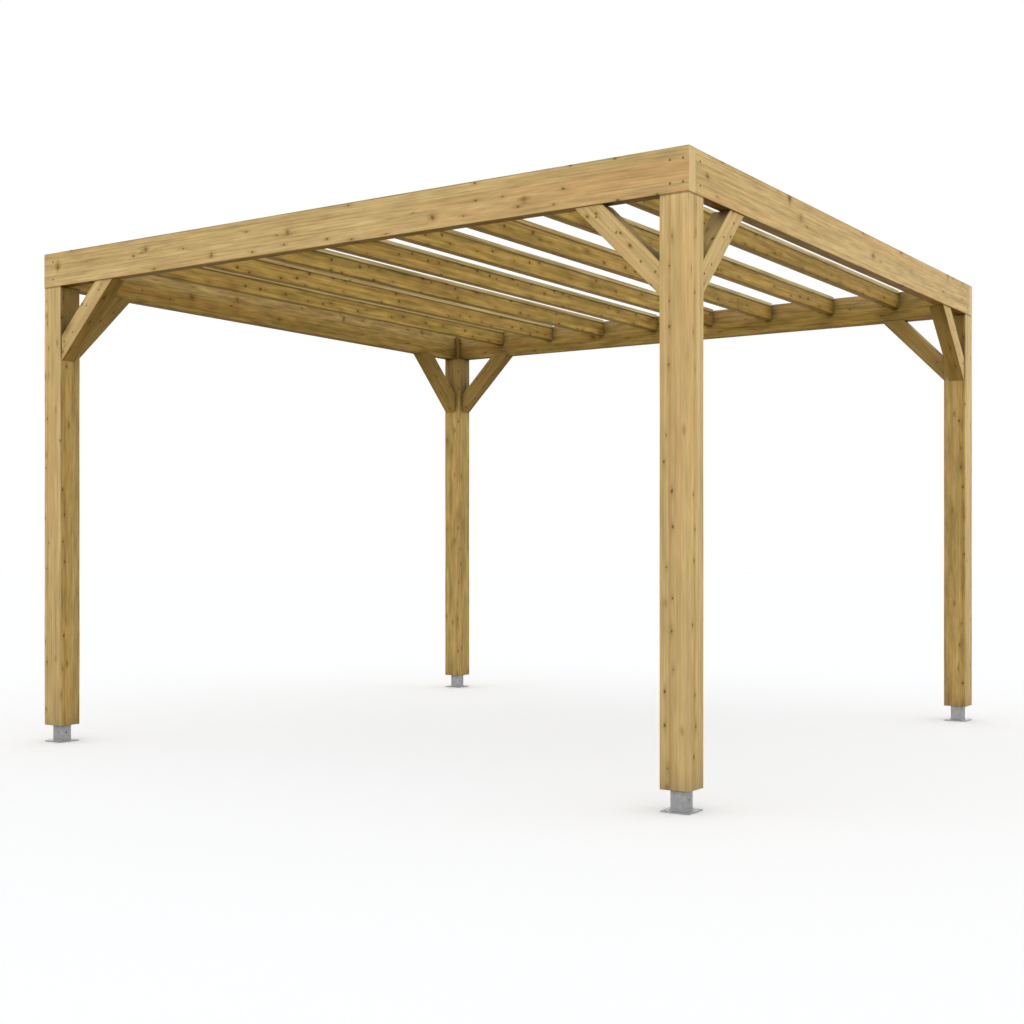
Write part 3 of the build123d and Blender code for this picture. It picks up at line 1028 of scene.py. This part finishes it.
def screw_heads(name, places, outward):
    """Flat screw heads with a six-lobed drive.

    A head is a height over radius and angle: level in the middle of the drive, a step up at the lobed wall
    whose radius waves six times round, then a low dome that falls to the wood at the rim and goes under it.
    """
    look = bpy.context.scene.pergola_fixings
    phi = np.arange(HEAD_ROUND) / HEAD_ROUND * FULL_TURN
    reach, waved, rise = HEAD_RINGS.T[:, :, None]
    rise = look.head_rise * rise
    rise[0] -= look.recess
    rise[-1] = -RIM_DROP
    radius = look.head_radius * reach * (1 + waved * LOBE_WAVE * np.cos(DRIVE_LOBES * phi))
    rows = len(HEAD_RINGS)
    head = np.stack([radius * np.cos(phi), radius * np.sin(phi), np.repeat(rise, HEAD_ROUND, 1)], -1)
    head = head.reshape(1, -1, 3)
    places, outward = np.asarray(places, float), np.asarray(outward, float)
    helper = np.where(np.abs(outward[:, 2:]) < STEEP, UP, np.eye(3)[ALONG_X])
    side = np.cross(helper, outward)
    side /= np.linalg.norm(side, axis=1, keepdims=True)
    axes = (side, np.cross(outward, side), outward)
    points = places[:, None] + sum(head[..., k, None] * axis[:, None] for k, axis in enumerate(axes))
    quads = grid_quads(rows, HEAD_ROUND)
    ring = np.arange(HEAD_ROUND)
    one = np.concatenate([quads.ravel(), ring, ((rows - 1) * HEAD_ROUND + ring)[::-1]])
    faces = one + np.arange(len(places))[:, None] * (rows * HEAD_ROUND)
    sizes = np.tile(np.concatenate([np.full(len(quads), 4), [HEAD_ROUND, HEAD_ROUND]]), len(places))
    mesh = put_mesh(name, points.reshape(-1, 3), faces.ravel(), sizes, smooth=False)
    return finish_piece(name, mesh, coated_finish(), "galvanised_steel")


# screws of a beam: the axis it faces, sign outwards, from its low end, from its high end, down from its top
BEAM_SCREWS = {
    "front": (ALONG_Y, -1.0, (0.066,), (0.076, 0.023), (0.045, 0.130)),
    "back": (ALONG_Y, 1.0, (0.066,), (0.076, 0.023), (0.045, 0.130)),
    "left": (ALONG_X, -1.0, (0.036,), (0.036,), (0.042, 0.130)),
    "right": (ALONG_X, 1.0, (0.036,), (0.036,), (0.042, 0.130)),
}
# screws of a brace: share of its middle line from the beam down, and metres to the side of that line
BRACE_SCREWS = ((0.13, 0.006), (0.385, -0.004), (0.75, 0.004), (0.92, -0.004))


class PERGOLA_OT_screws(bpy.types.Operator):
    """Screw heads at the beam ends and on the braces"""
    bl_idname = "pergola.screws"
    bl_label = "Screws"

    def execute(self, context):
        for side, (facing, sign, from_low, from_high, drops) in BEAM_SCREWS.items():
            low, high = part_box("beam_" + side)
            run = 1 - facing
            spots = [low[run] + gap for gap in from_low] + [high[run] - gap for gap in from_high]
            places = np.empty((len(spots) * len(drops), 3))
            places[:, run] = np.repeat(spots, len(drops))
            places[:, facing] = high[facing] if sign > 0 else low[facing]
            places[:, 2] = np.tile([high[2] - drop for drop in drops], len(spots))
            screw_heads("screws_beam_" + side, places, np.tile(sign * np.eye(3)[facing], (len(places), 1)))
        for corner in CORNERS:
            places, outward = [], []
            for node, axis, sign, out in braces_at(corner):
                low, high, leg, post, half = brace_sizes(node, axis, sign)
                cut = leg - half * ROOT_TWO
                for part, off in BRACE_SCREWS:
                    place = np.empty(3)
                    place[axis] = post - sign * (cut * (1 - part) + off)
                    place[1 - axis] = high[1 - axis] if out > 0 else low[1 - axis]
                    place[2] = high[2] - cut * part - off
                    places.append(place)
                    outward.append(out * np.eye(3)[1 - axis])
            screw_heads("screws_braces_" + corner, places, outward)
        return {"FINISHED"}


FLOOR_HALF, FLOOR_DROP = 40.0, 0.0005
PANEL_WIDE, PANEL_TALL = 9.0, 4.4
PANEL_HEIGHT, PANEL_AWAY = 2.8, 5.0
# share of the dome's rise overhead that reaches a level floor
DOME_SHARE = 2 / 3
WHITE = (1.0, 1.0, 1.0)
SENSOR_WIDTH, VIEW_REACH = 36.0, 200.0


class PERGOLA_OT_stage(bpy.types.Operator):
    """Plain pale floor, plain sky dome, four soft panels and the camera"""
    bl_idname = "pergola.stage"
    bl_label = "Stage"

    def execute(self, context):
        look = context.scene.pergola_stage
        floor = self.floor(look)
        self.sky(look)
        out_x, out_y = CAD_BOX[1][0] + PANEL_AWAY, CAD_BOX[1][1] + PANEL_AWAY
        for name, x, y, quarter in (("front panel", 0.0, -out_y, 0), ("right panel", out_x, 0.0, 1),
                                    ("back panel", 0.0, out_y, 2), ("left panel", -out_x, 0.0, 3)):
            self.panel(name, (x, y, PANEL_HEIGHT), quarter * QUARTER_TURN, look.panel_light, floor)
        self.camera(look, context.scene)
        context.scene.view_settings.view_transform = "Standard"
        return {"FINISHED"}

    def shown(self, b, hidden, seen):
        """One shader for what the camera, reflections and glass see, another for light between surfaces."""
        path = b.put("ShaderNodeLightPath").outputs
        part = b.larger(path["Is Camera Ray"], path["Is Glossy Ray"])
        part = b.larger(part, path["Is Transmission Ray"])
        return b.put("ShaderNodeMixShader", {0: part, 1: hidden.outputs[0], 2: seen.outputs[0]}).outputs[0]

    def floor(self, look):
        """A level floor. The dome's light on it is its low light and two thirds of its rise overhead."""
        corners = np.array([(-1, -1), (1, -1), (1, 1), (-1, 1)], float) * FLOOR_HALF
        points = np.column_stack([corners, np.full(4, -FLOOR_DROP)])
        mesh = put_mesh("floor", points, np.arange(4), [4], smooth=False)
        material, b, shader = fresh_material("pale floor")
        b.tree.nodes.remove(shader)
        open_light = look.sky_low + (look.sky_high - look.sky_low) * DOME_SHARE
        pale = tuple(look.floor_white / open_light * tone for tone in look.floor_tone)
        seen = b.put("ShaderNodeBsdfDiffuse", {"Color": pale})
        sent = b.put("ShaderNodeBsdfDiffuse", {"Color": tuple(look.floor_return)})
        out = next(node for node in b.tree.nodes if node.type == "OUTPUT_MATERIAL")
        b.feed(out.inputs["Surface"], self.shown(b, sent, seen))
        mesh.materials.append(material)
        floor = bpy.data.objects.new("floor", mesh)
        bpy.context.scene.collection.objects.link(floor)
        return floor

    def panel(self, name, place, turn, light, floor):
        """An upright soft panel that faces the frame and leaves out the floor, which the dome lights evenly.

        Its power is its light times pi times its area.
        """
        lamp = bpy.data.lights.new(name, "AREA")
        lamp.shape = "RECTANGLE"
        lamp.size, lamp.size_y = PANEL_WIDE, PANEL_TALL
        lamp.energy = light * np.pi * PANEL_WIDE * PANEL_TALL
        stand = bpy.data.objects.new(name, lamp)
        stand.location = place
        stand.rotation_euler = (QUARTER_TURN, 0.0, turn)
        stand.visible_camera = False
        bpy.context.scene.collection.objects.link(stand)
        spared = bpy.data.collections.new(name + " spares")
        spared.objects.link(floor)
        spared.collection_objects[0].light_linking.link_state = "EXCLUDE"
        stand.light_linking.receiver_collection = spared

    def sky(self, look):
        """A dome whose light rises evenly from the horizon to overhead, and that shows as white."""
        world = bpy.data.worlds.new("plain sky")
        world.use_nodes = True
        world.node_tree.nodes.clear()
        b = Bench(world.node_tree)
        rise = b.split(b.put("ShaderNodeTexCoord").outputs["Generated"])[2]
        grade = b.put("ShaderNodeMapRange", {"Value": rise, "To Min": look.sky_low, "To Max": look.sky_high})
        lit = b.put("ShaderNodeBackground", {"Color": WHITE, "Strength": grade.outputs[0]})
        white = b.put("ShaderNodeBackground", {"Color": WHITE, "Strength": 1.0})
        b.put("ShaderNodeOutputWorld", {"Surface": self.shown(b, lit, white)})
        bpy.context.scene.world = world

    def camera(self, look, scene):
        """A level camera, moved up in its frame by a shift."""
        data = bpy.data.cameras.new("view")
        data.sensor_width = SENSOR_WIDTH
        data.lens = look.lens
        data.shift_y = look.shift_up
        data.clip_end = VIEW_REACH
        camera = bpy.data.objects.new("view", data)
        camera.location = look.camera_place
        camera.rotation_euler = (QUARTER_TURN, 0.0, look.camera_turn)
        scene.collection.objects.link(camera)
        scene.camera = camera


STEPS = ("posts", "beams", "rafters", "braces", "battens", "feet", "screws", "stage")


class PERGOLA_PT_panel(bpy.types.Panel):
    """Lists the steps that dress the pergola"""
    bl_idname = "PERGOLA_PT_panel"
    bl_label = "Pergola"
    bl_space_type = "VIEW_3D"
    bl_region_type = "UI"
    bl_category = "Pergola"

    def draw(self, context):
        for step in STEPS:
            self.layout.operator("pergola." + step)


GROUPS = (("pergola_timber", PergolaTimber), ("pergola_fixings", PergolaFixings),
          ("pergola_feet", PergolaFeet), ("pergola_stage", PergolaStage))
CLASSES = (PERGOLA_OT_posts, PERGOLA_OT_beams, PERGOLA_OT_rafters, PERGOLA_OT_braces, PERGOLA_OT_battens,
           PERGOLA_OT_feet, PERGOLA_OT_screws, PERGOLA_OT_stage, PERGOLA_PT_panel)


def register():
    for name, group in GROUPS:
        bpy.utils.register_class(group)
        setattr(bpy.types.Scene, name, bpy.props.PointerProperty(type=group))
    for cls in CLASSES:
        bpy.utils.register_class(cls)


def unregister():
    for cls in reversed(CLASSES):
        bpy.utils.unregister_class(cls)
    for name, group in reversed(GROUPS):
        delattr(bpy.types.Scene, name)
        bpy.utils.unregister_class(group)


def main():
    """Dresses the pergola step by step."""
    register()
    for step in STEPS:
        getattr(bpy.ops.pergola, step)()


if __name__ == "__main__":
    main()
